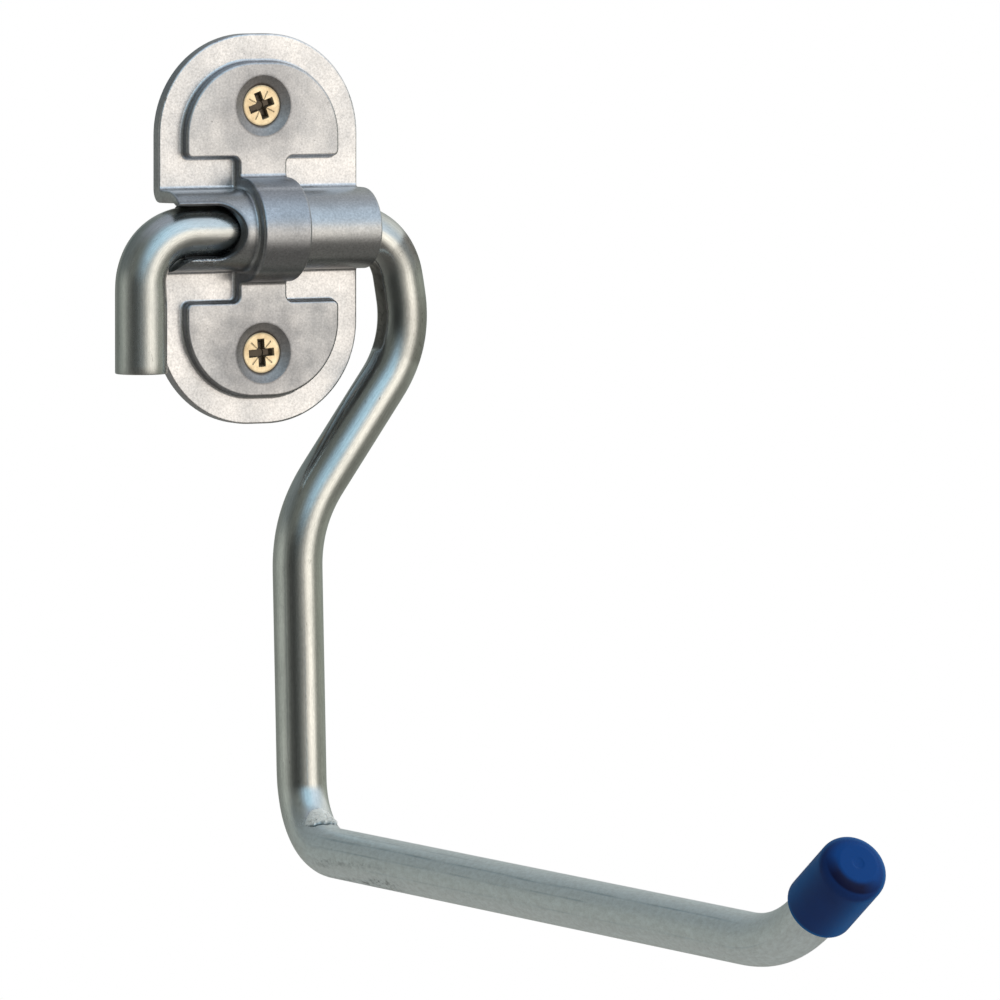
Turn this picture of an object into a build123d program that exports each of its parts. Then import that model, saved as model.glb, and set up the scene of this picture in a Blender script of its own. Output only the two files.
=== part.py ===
"""Garage utility hook: a bent round-bar hook that hangs in the barrel of a pressed wall bracket.

Millimetres, +Z up. The wall is the plane Y = 0, the hook reaches out along -Y, and the origin
is the middle of the bracket's back face. The bar turns about the barrel's axis, along X.
"""

import os
from math import cos, radians, sin, sqrt

from build123d import *

# Bracket: one pressed sheet, with a barrel across it and a raised panel on each tab
PLATE_WIDTH = 44.0
PLATE_HEIGHT = 77.8
PLATE_END_FLAT = 4.0       # straight run left at the top and bottom of the plate
SHEET = 2.5
SHEET_EDGE_ROUND = 0.4
CREASE_RADIUS = 0.8        # inside radius where the sheet folds up into the barrel
MOUTH_RADIUS = 2.7         # outside radius of the same fold, seen from the wall side

PANEL_RISE = 2.3           # how far the panels and the band stand proud of the sheet
PANEL_HOLLOW = 1.6         # depth pressed in behind them
PANEL_WALL = 2.0           # metal left around that hollow
PANEL_SIDE_RIM = 5.1       # flat rim left beside a panel
PANEL_END_RIM = 5.5        # flat rim left above or below a panel
PANEL_END_FLAT = 3.8
PANEL_GAP = 6.3            # from the barrel's side to the near edge of a panel
PANEL_CORNER_RADIUS = 1.3
PANEL_LEAST_SIDE = 0.4     # straight side always left between a panel's corner and its round end
PANEL_EDGE_ROUND = 0.6
PANEL_BASE_ROUND = 0.6
BAND_WIDTH = 10.6          # the rib that joins the two panels over the barrel

# Bar
BAR_DIAMETER = 10.0
BARREL_CLEARANCE = 0.6     # all round, between the bar and the barrel
WALL_CLEARANCE = 0.95      # between the bar and the wall
BARREL_END_ROUND = 1.8     # bell mouth at each end of the barrel, for the bends
BEND_CLEARANCE = 0.35      # between the short leg's bend and the end of the barrel

LEG_OFFSET = 27.8          # short leg, to the left of the bracket's middle
LEG_LENGTH = 28.0
LEG_BEND_RADIUS = 10.4
SHOULDER_OFFSET = 27.8     # right-hand bend
SHOULDER_BEND_RADIUS = 11.2
KNEE_OFFSET = 31.7
KNEE_DROP = 23.3
KNEE_BEND_RADIUS = 22.2
SHANK_OFFSET = 6.8         # where the diagonal run turns straight down
SHANK_DROP = 58.1
SHANK_BEND_RADIUS = 27.6
ARM_OFFSET = 8.25
ARM_DROP = 123.7
ARM_BEND_RADIUS = 13.2
ARM_REACH = 197.9          # from the upright run to the tip's bend
TIP_BEND_RADIUS = 43.5
TIP_RISE_ANGLE = 33.5
TIP_LENGTH = 30.9

# Slot in the barrel, so that the short leg can swing out
SLOT_END = 8.3             # from the bracket's middle to the closed end of the slot
SLOT_CLEARANCE = 0.3       # above and below the bar, so that it just passes
SLOT_EDGE_ROUND = 0.4

# Cap pushed over the tip
CAP_WALL = 1.55
CAP_LENGTH = 17.0
CAP_END_WALL = 1.6
CAP_FIT = 0.05
CAP_END_ROUND = 2.9
CAP_RIM_ROUND = 0.35
CAP_DIMPLE_DIAMETER = 2.4
CAP_DIMPLE_DEPTH = 0.25

# Screws and their seats
SCREW_TO_END = 14.25       # from a screw to the near end of the plate
SCREW_HEAD_DIAMETER = 8.15
SCREW_HEAD_RIM = 0.35      # straight rim above the head's cone
SCREW_SHANK_DIAMETER = 4.0
SCREW_LENGTH = 30.0
SCREW_POINT_LENGTH = 5.0
SCREW_HEAD_SUNK = 0.85     # head below the face of the panel
SCREW_HOLE_CLEARANCE = 0.4
SCREW_SEAT_GAP = 0.05
DISH_DIAMETER = 12.1       # shallow dish pressed around each hole
RECESS_SPAN = 5.3
RECESS_SLOT_WIDTH = 1.15
RECESS_DEPTH = 1.9
RECESS_TICK_WIDTH = 0.3
RECESS_TICK_DEPTH = 0.15
UPPER_RECESS_TURN = 20.0
LOWER_RECESS_TURN = 4.0

# Sizes that follow from those above
bar_radius = BAR_DIAMETER / 2
axis_depth = bar_radius + WALL_CLEARANCE
barrel_bore = bar_radius + BARREL_CLEARANCE
barrel_outer = barrel_bore + SHEET
slot_radius = bar_radius + SLOT_CLEARANCE
panel_start = barrel_outer + PANEL_GAP
panel_half_height = PLATE_HEIGHT / 2 - PANEL_END_RIM
panel_width = PLATE_WIDTH - 2 * PANEL_SIDE_RIM
panel_face = SHEET + PANEL_RISE
plate_end_radius = (PLATE_WIDTH - PLATE_END_FLAT) / 2
panel_end_room = (
    panel_half_height - panel_start - PANEL_WALL - PANEL_CORNER_RADIUS - PANEL_LEAST_SIDE
)
panel_end_radius = min((panel_width - PANEL_END_FLAT) / 2, panel_end_room)
screw_height = PLATE_HEIGHT / 2 - SCREW_TO_END
reach_out = axis_depth + barrel_outer + PANEL_RISE


def depthwise(sketch, near, far):
    """Solid over a sketch drawn in X and Z, from depth near to depth far in front of the wall."""
    return extrude(Plane.XZ.offset(near) * sketch, far - near)


def across(sketch):
    """Solid as wide as the bracket, over a section drawn in depth and Z."""
    section = Plane(origin=(0, 0, 0), x_dir=(0, -1, 0), z_dir=(-1, 0, 0)) * sketch
    return extrude(section, PLATE_WIDTH / 2, both=True)


def outer_section(rise):
    """Section of the sheet's front, moved out by rise: a flat with the barrel standing on it."""
    radius = barrel_outer + rise
    flat = SHEET + rise
    section = Pos(flat / 2, 0) * Rectangle(flat, PLATE_HEIGHT)
    section += Pos(axis_depth / 2, 0) * Rectangle(axis_depth, 2 * radius)
    section += Pos(axis_depth, 0) * Circle(radius)
    creases = section.vertices().filter_by(
        lambda v: abs(v.X - flat) < 1e-4 and abs(abs(v.Y) - radius) < 1e-4
    )
    return fillet(creases, CREASE_RADIUS)


def inner_section(rise):
    """Section of the space behind the sheet, pressed deeper by rise, with its rounded mouth."""
    radius = barrel_bore + rise
    section = Pos(axis_depth / 2, 0) * Rectangle(axis_depth, 2 * radius)
    section += Pos(axis_depth, 0) * Circle(radius)
    mouth = Pos(rise + MOUTH_RADIUS / 2, 0) * Rectangle(MOUTH_RADIUS, 2 * (radius + MOUTH_RADIUS))
    for side in (1, -1):
        mouth -= Pos(rise + MOUTH_RADIUS, side * (radius + MOUTH_RADIUS)) * Circle(MOUTH_RADIUS)
    section += mouth
    if rise > 0:
        section += Pos(rise / 2, 0) * Rectangle(rise, PLATE_HEIGHT)
    return section


def panel_outline(inset):
    """Both panels and the band between them, drawn in by inset, as one outline in X and Z."""
    near = panel_start + inset
    width = panel_width - 2 * inset
    far = panel_half_height - inset
    panel = Pos(0, (near + far) / 2) * RectangleRounded(width, far - near, PANEL_CORNER_RADIUS)
    outline = panel + mirror(panel, Plane.XZ)
    outline &= RectangleRounded(width, 2 * far, panel_end_radius - inset)
    outline += Rectangle(BAND_WIDTH - 2 * inset, 2 * (near + PANEL_CORNER_RADIUS))
    inner_corners = outline.vertices().filter_by(
        lambda v: abs(abs(v.Y) - near) < 1e-4 and abs(abs(v.X) - BAND_WIDTH / 2 + inset) < 1e-4
    )
    return fillet(inner_corners, PANEL_CORNER_RADIUS)


def slot_outline():
    """Slot from the bracket's left edge, with its lower lip cut back round the leg's bend."""
    straight = PLATE_WIDTH / 2 - SLOT_END
    slot = Pos(-SLOT_END - slot_radius - straight / 2, 0) * Rectangle(straight, 2 * slot_radius)
    slot += Pos(-SLOT_END - slot_radius, 0) * Circle(slot_radius)
    bend_start = LEG_BEND_RADIUS - LEG_OFFSET
    lip = Pos(bend_start - PLATE_WIDTH / 2, -(barrel_outer + slot_radius) / 2) * Rectangle(
        PLATE_WIDTH, barrel_outer - slot_radius
    )
    lip -= Pos(bend_start, -LEG_BEND_RADIUS) * Circle(LEG_BEND_RADIUS - bar_radius - BEND_CLEARANCE)
    return slot + lip


def bell_mouth():
    """Rounding inside the barrel's right-hand end, turned about the barrel's axis."""
    end = PLATE_WIDTH / 2
    height = barrel_bore + BARREL_END_ROUND
    flare = Pos(end, height / 2) * Rectangle(2 * BARREL_END_ROUND, height)
    flare -= Pos(end - BARREL_END_ROUND, height) * Circle(BARREL_END_ROUND)
    return Pos(0, -axis_depth, 0) * revolve(flare, Axis.X)


def screw_seat():
    """What is cut from a panel for one screw: a shallow dish, the head's cone and a hole."""
    hole_radius = SCREW_SHANK_DIAMETER / 2 + SCREW_HOLE_CLEARANCE
    seat_radius = SCREW_HEAD_DIAMETER / 2 + SCREW_SEAT_GAP
    seat_depth = SCREW_HEAD_SUNK + SCREW_HEAD_RIM
    cone_depth = seat_radius - hole_radius
    profile = Polyline(
        (0, 1),
        (DISH_DIAMETER / 2, 1),
        (DISH_DIAMETER / 2, 0),
        (seat_radius, -SCREW_HEAD_SUNK),
        (seat_radius, -seat_depth),
        (hole_radius, -seat_depth - cone_depth),
        (hole_radius, -panel_face - 1),
        (0, -panel_face - 1),
        close=True,
    )
    face = Plane.XZ * make_face(profile)
    return revolve(face, Axis.Z)


def outer_rim(solid):
    """Edges round the front of a block that starts at the wall, for rounding."""
    sides = solid.faces().filter_by(
        lambda f: f.bounding_box().max.Y > -1e-3 and f.bounding_box().min.Y < -1e-3
    )
    edges = [e for f in sides for e in f.edges() if e.bounding_box().max.Y < -1e-3]
    return ShapeList(edges)


def wall_plate():
    """Pressed bracket with its barrel, raised panels, slot and two screw seats."""
    edge = RectangleRounded(PLATE_WIDTH, PLATE_HEIGHT, plate_end_radius)
    blank = across(outer_section(0)) & depthwise(edge, 0, reach_out)
    slot = depthwise(slot_outline(), -1, reach_out)
    slotted = blank - slot
    lip_depth = axis_depth + sqrt(barrel_outer**2 - slot_radius**2)
    crown = new_edges(blank, slot, combined=slotted).filter_by(
        lambda e: e.bounding_box().max.Y < 0.01 - lip_depth
    )
    sheet = fillet(outer_rim(blank), SHEET_EDGE_ROUND) & fillet(crown, SLOT_EDGE_ROUND)
    raised = across(outer_section(PANEL_RISE)) & depthwise(panel_outline(0), 0, reach_out)
    raised = fillet(outer_rim(raised), PANEL_EDGE_ROUND)
    body = sheet + raised
    body = fillet(new_edges(sheet, raised, combined=body), PANEL_BASE_ROUND)

    body -= across(inner_section(0))
    hollow = across(inner_section(PANEL_HOLLOW))
    body -= hollow & depthwise(panel_outline(PANEL_WALL), 0, reach_out)

    mouth = bell_mouth()
    body -= mouth
    body -= mirror(mouth, Plane.YZ)

    for side in (1, -1):
        body -= screw_place(side) * screw_seat()
    return body


def screw_place(side):
    """Where a screw goes: on the panel's face, +Z out of the wall."""
    return Pos(0, -panel_face, side * screw_height) * Rot(90, 0, 0)


def hook_rod():
    """The bar, bent in one piece: short leg, barrel run, diagonal, upright, arm and tip."""
    rise = radians(TIP_RISE_ANGLE)
    tip_start = -axis_depth - ARM_REACH
    corners = [
        (-LEG_OFFSET, -axis_depth, -LEG_LENGTH),
        (-LEG_OFFSET, -axis_depth, 0),
        (SHOULDER_OFFSET, -axis_depth, 0),
        (KNEE_OFFSET, -axis_depth, -KNEE_DROP),
        (SHANK_OFFSET, -axis_depth, -SHANK_DROP),
        (ARM_OFFSET, -axis_depth, -ARM_DROP),
        (ARM_OFFSET, tip_start, -ARM_DROP),
        (ARM_OFFSET, tip_start - TIP_LENGTH * cos(rise), -ARM_DROP + TIP_LENGTH * sin(rise)),
    ]
    radii = [
        LEG_BEND_RADIUS,
        SHOULDER_BEND_RADIUS,
        KNEE_BEND_RADIUS,
        SHANK_BEND_RADIUS,
        ARM_BEND_RADIUS,
        TIP_BEND_RADIUS,
    ]
    path = FilletPolyline(*corners, radius=radii)
    section = Plane(origin=path @ 0, z_dir=path % 0) * Circle(bar_radius)
    tip = Plane(origin=path @ 1, z_dir=path % 1)
    return sweep(section, path), tip


def end_cap():
    """Moulded cap, closed at the far end. The bar's end is at Z = 0 and the cap points up."""
    bore = bar_radius + CAP_FIT
    outer = bore + CAP_WALL
    top = CAP_FIT + CAP_END_WALL
    cap = Pos(0, 0, top) * Cylinder(outer, CAP_LENGTH, align=(Align.CENTER, Align.CENTER, Align.MAX))
    cap = fillet(cap.edges().sort_by(Axis.Z)[-1], CAP_END_ROUND)
    cap = fillet(cap.edges().group_by(Axis.Z)[0], CAP_RIM_ROUND)
    cap -= Pos(0, 0, CAP_FIT) * Cylinder(
        bore, CAP_LENGTH, align=(Align.CENTER, Align.CENTER, Align.MAX)
    )
    cap -= Pos(0, 0, top) * Cylinder(CAP_DIMPLE_DIAMETER / 2, 2 * CAP_DIMPLE_DEPTH)
    return cap


def screw(turn):
    """Countersunk wood screw with a cross recess. Its head is at Z = 0 and its point below."""
    head_radius = SCREW_HEAD_DIAMETER / 2
    shank_radius = SCREW_SHANK_DIAMETER / 2
    neck = SCREW_HEAD_RIM + head_radius - shank_radius
    profile = Polyline(
        (0, 0),
        (head_radius, 0),
        (head_radius, -SCREW_HEAD_RIM),
        (shank_radius, -neck),
        (shank_radius, SCREW_POINT_LENGTH - SCREW_LENGTH),
        (0, -SCREW_LENGTH),
        close=True,
    )
    body = revolve(Plane.XZ * make_face(profile), Axis.Z)
    half_span = RECESS_SPAN / 2
    foot = half_span - RECESS_DEPTH / 2
    wing = Polyline(
        (-half_span, 1),
        (half_span, 1),
        (half_span, 0),
        (foot, -RECESS_DEPTH),
        (-foot, -RECESS_DEPTH),
        (-half_span, 0),
        close=True,
    )
    wing = extrude(Plane.XZ * make_face(wing), RECESS_SLOT_WIDTH / 2, both=True)
    body -= wing + Rot(0, 0, 90) * wing
    tick = Box(RECESS_SPAN, RECESS_TICK_WIDTH, 2 * RECESS_TICK_DEPTH)
    body -= Rot(0, 0, 45) * tick + Rot(0, 0, -45) * tick
    return Rot(0, 0, turn) * body


bracket = wall_plate()
rod, tip = hook_rod()
head_level = Pos(0, 0, -SCREW_HEAD_SUNK)
parts = {
    "wall_plate": bracket,
    "hook_rod": rod,
    "end_cap": tip * end_cap(),
    "screw_upper": screw_place(1) * head_level * screw(UPPER_RECESS_TURN),
    "screw_lower": screw_place(-1) * head_level * screw(LOWER_RECESS_TURN),
}

os.makedirs("parts", exist_ok=True)
for name, solid in parts.items():
    solid.label = name
    export_step(solid, f"parts/{name}.step")
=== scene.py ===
"""Garage utility hook: looks for the bent bar, its pressed wall bracket, two screws and an end cap.

Metres, +Z up. The wall is the plane Y = 0 and the arm reaches out along -Y.
"""

import bpy
import numpy as np
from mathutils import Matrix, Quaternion, Vector


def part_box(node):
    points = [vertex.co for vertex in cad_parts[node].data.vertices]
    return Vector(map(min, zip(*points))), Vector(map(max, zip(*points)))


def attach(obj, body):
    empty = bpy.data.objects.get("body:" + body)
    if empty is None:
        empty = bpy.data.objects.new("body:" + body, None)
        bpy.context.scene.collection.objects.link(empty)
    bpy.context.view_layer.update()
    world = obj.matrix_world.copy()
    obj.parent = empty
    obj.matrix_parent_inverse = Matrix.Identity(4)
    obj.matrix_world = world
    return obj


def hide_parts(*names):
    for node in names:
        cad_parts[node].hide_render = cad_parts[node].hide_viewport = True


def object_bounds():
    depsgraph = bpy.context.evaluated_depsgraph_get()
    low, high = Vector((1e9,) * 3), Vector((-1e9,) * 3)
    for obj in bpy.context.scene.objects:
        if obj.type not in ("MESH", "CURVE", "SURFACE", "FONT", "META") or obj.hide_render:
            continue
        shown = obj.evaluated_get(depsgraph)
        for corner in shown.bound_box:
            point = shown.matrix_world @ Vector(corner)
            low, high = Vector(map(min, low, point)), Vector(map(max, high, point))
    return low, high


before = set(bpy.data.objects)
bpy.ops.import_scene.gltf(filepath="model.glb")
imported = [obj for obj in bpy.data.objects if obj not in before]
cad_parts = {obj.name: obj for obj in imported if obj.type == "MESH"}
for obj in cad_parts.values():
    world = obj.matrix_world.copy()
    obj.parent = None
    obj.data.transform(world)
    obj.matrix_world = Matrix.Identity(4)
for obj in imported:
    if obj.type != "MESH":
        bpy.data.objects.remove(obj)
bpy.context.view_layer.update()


# Wall bracket: one sheet of steel, pressed so that a barrel and two raised panels stand out of it, then
# bright zinc plated. The plate is matt and grainy, and the barrel is smoother and darker. Its colour
# holds painted shade on the side walls, inside the bore, by the slot's lip and round the screw heads,
# and painted glints on the slot's lip.
# Two screws through the panels hold it to the wall.

barrel_axis = -0.00595               # Y of the middle line of the bar and of the barrel
slot_end = -0.0136                   # X of the middle of the slot's round end
# Where each mask starts and where it is full, as distances or places
barrel_edge = (0.0088, 0.0079)       # up or down from the axis
band_edge = (0.0089, 0.0098)         # out from the axis
bore_edge = (0.0078, 0.0056)         # out from the axis
slot_lip_edge = (0.0064, 0.0056)     # from the slot's middle line
lip_face_edge = (-0.0070, -0.0085)   # Y
under_bar_edge = (-0.0050, -0.0053)  # Z
panel_face_edge = (-0.0038, -0.0047)  # Y
lower_panel_edge = (-0.006, -0.016)  # Z
handled_edge = (0.0135, 0.0040)      # from a screw's middle
dish_edge = (0.0065, 0.0060)         # from a screw's middle
# Painted shade: a dark ring on the plate just round each screw head.
head_shade_edge = (0.0048, 0.0043)    # from a screw's middle
head_shade_aside = 0.00030


def fill(tree, socket, value):
    """Joins a socket to another node's output, or gives it a constant."""
    if isinstance(value, bpy.types.NodeSocket):
        tree.links.new(value, socket)
    else:
        socket.default_value = value


def add_node(tree, kind, label, *inputs, **values):
    """A node with its properties set, and then its inputs, in order or by name."""
    node = tree.nodes.new("ShaderNode" + kind)
    node.label = label
    properties = [name for name in values if hasattr(node, name)]
    for name in properties:
        setattr(node, name, values.pop(name))
    for socket, value in zip(node.inputs, inputs):
        fill(tree, socket, value)
    for name, value in values.items():
        fill(tree, node.inputs[name.replace("_", " ")], value)
    return node


def step(tree, kind, label, *inputs, **values):
    """The first output in use of a new node."""
    node = add_node(tree, kind, label, *inputs, **values)
    return next(socket for socket in node.outputs if socket.enabled)


def maths(tree, label, operation, *inputs, clamp=False):
    """One operation on numbers."""
    return step(tree, "Math", label, *inputs, operation=operation, use_clamp=clamp)


def vectors(tree, label, operation, *inputs, **values):
    """One operation on vectors, which gives a vector or a length."""
    return step(tree, "VectorMath", label, *inputs, operation=operation, **values)


def product(tree, label, *masks):
    """Masks multiplied together, so that all of them have to hold."""
    share = masks[0]
    for mask in masks[1:]:
        share = maths(tree, label, "MULTIPLY", share, mask)
    return share


def changed(tree, label, base, mask, more):
    """A number with more added to it in the share that a mask gives."""
    return maths(tree, label, "MULTIPLY_ADD", mask, more, base)


def fade(tree, label, value, ends, low=0.0, high=1.0, smooth=False):
    """A number carried from its two ends to low and high, and held there beyond them."""
    shape = "SMOOTHSTEP" if smooth else "LINEAR"
    return step(tree, "MapRange", label, value, *ends, low, high, interpolation_type=shape)


def noise(tree, label, place, scale, detail, roughness=0.5, distortion=0.0):
    """Fractal noise from 0 to 1 over a position."""
    return step(
        tree, "TexNoise", label, Vector=place, Scale=scale, Detail=detail, Roughness=roughness,
        Distortion=distortion,
    )


def mixed(tree, label, mask, base, tone, blend="MIX"):
    """Lays a colour over another where a mask is 1. Each is red, green and blue, or an output."""
    base, tone = [(*color, 1) if isinstance(color, tuple) else color for color in (base, tone)]
    return step(tree, "Mix", label, data_type="RGBA", blend_type=blend, Factor=mask, A=base, B=tone)


def plated_metal_group():
    """Cloudy tone, fine grain and small dark pits of a plated surface, from a position in metres."""
    tree = bpy.data.node_groups.new("plated_metal", "ShaderNodeTree")
    face = tree.interface
    face.new_socket("Position", in_out="INPUT", socket_type="NodeSocketVector")
    for name, grey in (("Clear", 0.7), ("Clouded", 0.5), ("Pit", 0.2)):
        socket = face.new_socket(name, in_out="INPUT", socket_type="NodeSocketColor")
        socket.default_value = (grey, grey, grey, 1)
    for name, value in (
        ("Cloud Scale", 90.0), ("Cloud Amount", 0.6), ("Grain Scale", 1800.0), ("Grain Amount", 0.3),
        ("Pit Scale", 700.0), ("Pit Amount", 0.3), ("Rough Low", 0.3), ("Rough High", 0.5),
    ):
        face.new_socket(name, in_out="INPUT", socket_type="NodeSocketFloat").default_value = value
    for name, kind in (("Color", "Color"), ("Roughness", "Float"), ("Height", "Float")):
        face.new_socket(name, in_out="OUTPUT", socket_type="NodeSocket" + kind)
    given = tree.nodes.new("NodeGroupInput").outputs
    result = tree.nodes.new("NodeGroupOutput").inputs
    place = given["Position"]

    cloud = noise(tree, "clouds", place, given["Cloud Scale"], 5.0, 0.62)
    grain = noise(tree, "grain", place, given["Grain Scale"], 2.0, 0.7)
    pits = noise(tree, "pits", place, given["Pit Scale"], 3.0, 0.75)

    clouded = fade(tree, "cloud edge", cloud, (0.38, 0.66), high=given["Cloud Amount"])
    tone = mixed(tree, "cloud tone", clouded, given["Clear"], given["Clouded"])
    grain_span = fade(tree, "grain span", grain, (0.3, 0.7), -0.5, 0.5)
    gain = changed(tree, "grain gain", 1.0, grain_span, given["Grain Amount"])
    grained = vectors(tree, "grained tone", "SCALE", tone, Scale=gain)
    pit_mask = fade(tree, "pit mask", pits, (0.66, 0.74))
    pit_share = product(tree, "pit share", pit_mask, given["Pit Amount"])
    fill(tree, result["Color"], mixed(tree, "pitted tone", pit_share, grained, given["Pit"]))
    rough = fade(tree, "roughness", cloud, (0.3, 0.7), given["Rough Low"], given["Rough High"])
    fill(tree, result["Roughness"], rough)
    fill(tree, result["Height"], maths(tree, "height", "SUBTRACT", grain, pit_share))
    return tree


plated_metal = plated_metal_group()


def new_material(name, **sockets):
    """An empty material with one Principled surface, its constants set on the surface's own sockets."""
    material = bpy.data.materials.new(name)
    material.use_nodes = True
    tree = material.node_tree
    surface = tree.nodes["Principled BSDF"]
    finish(tree, surface, **sockets)
    return material, tree, surface


def finish(tree, surface, **sockets):
    """Joins results, or sets constants, on the surface's sockets of these names."""
    for name, value in sockets.items():
        fill(tree, surface.inputs[name.replace("_", " ")], value)


def plating(tree, position, bump, **values):
    """Places the plating group in a material. Returns its colour, its roughness and its normal."""
    group = tree.nodes.new("ShaderNodeGroup")
    group.node_tree = plated_metal
    finish(tree, group, Position=position, **values)
    color, rough, height = group.outputs
    return color, rough, step(tree, "Bump", "relief", Strength=bump, Distance=0.00004, Height=height)


def near_screws(tree, place, ends, aside=0.0):
    """1 close to either screw and 0 away from it, by the distance in the wall plane.

    The place is folded over X = 0 and Z = 0, so one screw stands for both. A distance that is
    measured from beyond the middle, by aside, draws the round in a little at its sides.
    """
    low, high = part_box("screw_upper")
    folded = vectors(tree, "both tabs", "ABSOLUTE", place)
    flat = vectors(tree, "wall plane", "MULTIPLY", folded, (1, 0, 1))
    away = vectors(tree, "distance", "DISTANCE", flat, (-aside, 0, (low.z + high.z) / 2))
    return fade(tree, "near a screw", away, ends[::-1], 1.0, 0.0, smooth=True)


def bracket_finish():
    """Matt zinc plate: pale on the flats, greyer round the screws, smooth and grey on the barrel, with
    painted shade on the side walls, in the bore, by the slot and round the heads, and painted glints on
    the slot's lip.
    """
    material, tree, surface = new_material("bracket_zinc")
    coordinates = tree.nodes.new("ShaderNodeTexCoord").outputs
    place = coordinates["Object"]
    depth, height = add_node(tree, "SeparateXYZ", "place", place).outputs[1:]
    color, rough, relief = plating(
        tree, place, bump=0.35,
        Clear=(0.80, 0.775, 0.76, 1), Clouded=(0.66, 0.64, 0.63, 1), Pit=(0.27, 0.25, 0.24, 1),
        Cloud_Scale=110.0, Cloud_Amount=0.55, Grain_Scale=2300.0, Grain_Amount=0.36,
        Pit_Scale=900.0, Pit_Amount=0.55, Rough_Low=0.31, Rough_High=0.42,
    )

    off_axis = maths(tree, "height off the axis", "ABSOLUTE", height)
    # The barrel is darker and a little smoother than the flats.
    barrel = fade(tree, "barrel", off_axis, barrel_edge[::-1], 1.0, 0.0)
    # The dishes round the screws are darker and browner, and rougher.
    dishes = near_screws(tree, place, dish_edge)
    handled = near_screws(tree, place, handled_edge)
    # Painted shade in the gap round each screw head.
    head_shade = near_screws(tree, place, head_shade_edge, head_shade_aside)

    panel = fade(tree, "raised panel", depth, panel_face_edge)
    low = fade(tree, "lower panel", height, lower_panel_edge, 0.50, 0.80)
    blotch = noise(tree, "blotches", place, 170.0, 4.0, 0.6)
    uneven = fade(tree, "blotch edge", blotch, (0.36, 0.66), 0.42)
    greyed = product(tree, "greyed", uneven, panel, low)
    panels = maths(tree, "off the barrel", "SUBTRACT", greyed, barrel, clamp=True)

    # Painted shade: faces that turn away from the front, the side walls of the panels, are darkened.
    facing = add_node(tree, "SeparateXYZ", "facing", coordinates["Normal"]).outputs["Y"]
    steep = maths(tree, "towards the front", "ABSOLUTE", facing)
    side = fade(tree, "side walls", steep, (0.80, 0.25))
    walls = maths(tree, "not the barrel's", "SUBTRACT", side, barrel, clamp=True)

    from_axis = vectors(tree, "from the barrel's axis", "SUBTRACT", place, (0, barrel_axis, 0))
    section = vectors(tree, "in its section", "MULTIPLY", from_axis, (0, 1, 1))
    away = vectors(tree, "distance from it", "LENGTH", section)
    # Painted shade: the bore and the slot's cut faces are darkened, as they lie in shade inside the
    # barrel.
    bore = fade(tree, "bore and slot faces", away, bore_edge)
    proud = fade(tree, "proud of the barrel", away, band_edge)
    band = product(tree, "band over the barrel", proud, barrel)

    # Painted shade: the barrel's front beside the slot is darkened, over the highlight on the slot's
    # rounded edge.
    from_end = vectors(tree, "from the slot's round end", "ADD", place, (-slot_end, 0, 0))
    capsule = vectors(tree, "or its middle line", "MAXIMUM", from_end, (0, -1, -1))
    front = vectors(tree, "seen from the front", "MULTIPLY", capsule, (1, 0, 1))
    off_slot = vectors(tree, "distance off", "LENGTH", front)
    near_slot = fade(tree, "near the slot", off_slot, slot_lip_edge)
    on_barrel = fade(tree, "on the barrel", depth, lip_face_edge)
    lip = product(tree, "lip of the slot", near_slot, on_barrel)
    # Painted glints: small pale matt specks on the slot's lip under the bar, where real specks catch the
    # light.
    spots = fade(tree, "spot edge", noise(tree, "rubbed spots", place, 3000.0, 1.0), (0.54, 0.60))
    glinting = product(tree, "glinting", lip, spots, fade(tree, "under the bar", height, under_bar_edge))

    for label, mask, tone in (
        ("handled round the screws", handled, (0.72, 0.72, 0.73)),
        ("darker dishes", dishes, (0.86, 0.82, 0.785)),
        ("painted shade round the heads", head_shade, (0.40, 0.34, 0.29)),
        ("darker barrel", barrel, (0.63, 0.655, 0.67)),
        ("greyer panels", panels, (0.42, 0.43, 0.445)),
        ("painted shade on the side walls", walls, (0.50, 0.52, 0.55)),
        ("painted shade inside the bore", bore, (0.80, 0.82, 0.84)),
        ("darker band", band, (0.82, 0.82, 0.84)),
        ("painted shade at the slot's lip", lip, (0.42, 0.43, 0.45)),
    ):
        color = mixed(tree, label, mask, color, tone, "MULTIPLY")
    color = mixed(tree, "bared specks", glinting, color, (0.55, 0.56, 0.55))
    metal = changed(tree, "bared specks are matt", 1.0, glinting, -1.0)
    rough = changed(tree, "smoother barrel", rough, barrel, -0.05)
    rough = changed(tree, "rougher dishes", rough, dishes, 0.16)
    finish(tree, surface, Base_Color=color, Metallic=metal, Roughness=rough, Normal=relief)
    return material


def dress(node, material):
    """Gives a CAD node one material."""
    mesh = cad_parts[node].data
    mesh.materials.clear()
    mesh.materials.append(material)


dress("wall_plate", bracket_finish())


# Wood screws: two countersunk screws of yellow passivated steel, cold headed and thread rolled.
# Each has a cross recess with four fine tick marks between its arms, and is turned by hand to
# its own angle.

screw_head_radius = 0.004075
screw_head_rim = 0.00035
screw_core_radius = 0.00135
screw_thread_radius = 0.0020
screw_thread_pitch = 0.0018
screw_plain_length = 0.0085
screw_point_length = 0.0052
screw_plain_share = 0.93             # of the thread's radius
thread_ridge_half = 0.42             # of the pitch
thread_run_in = 0.0012
rim_shade_start = 0.0036
rim_shade_fade = 0.0004
head_dish_depth = 0.00005
screw_body_columns = 48
screw_head_columns = 192
screw_head_rows = 70
recess_span = 0.0056
recess_width = 0.00150
recess_depth = 0.0015
recess_end_slope = 0.0007
recess_side_slope = 0.00012
recess_well_radius = 0.00125
recess_well_slope = 0.00035
tick_half_width = 0.00011
tick_reach = (0.0012, 0.0031)
tick_depth = 0.00009
recess_turns = {"screw_upper": 20.0, "screw_lower": 4.0}


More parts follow.
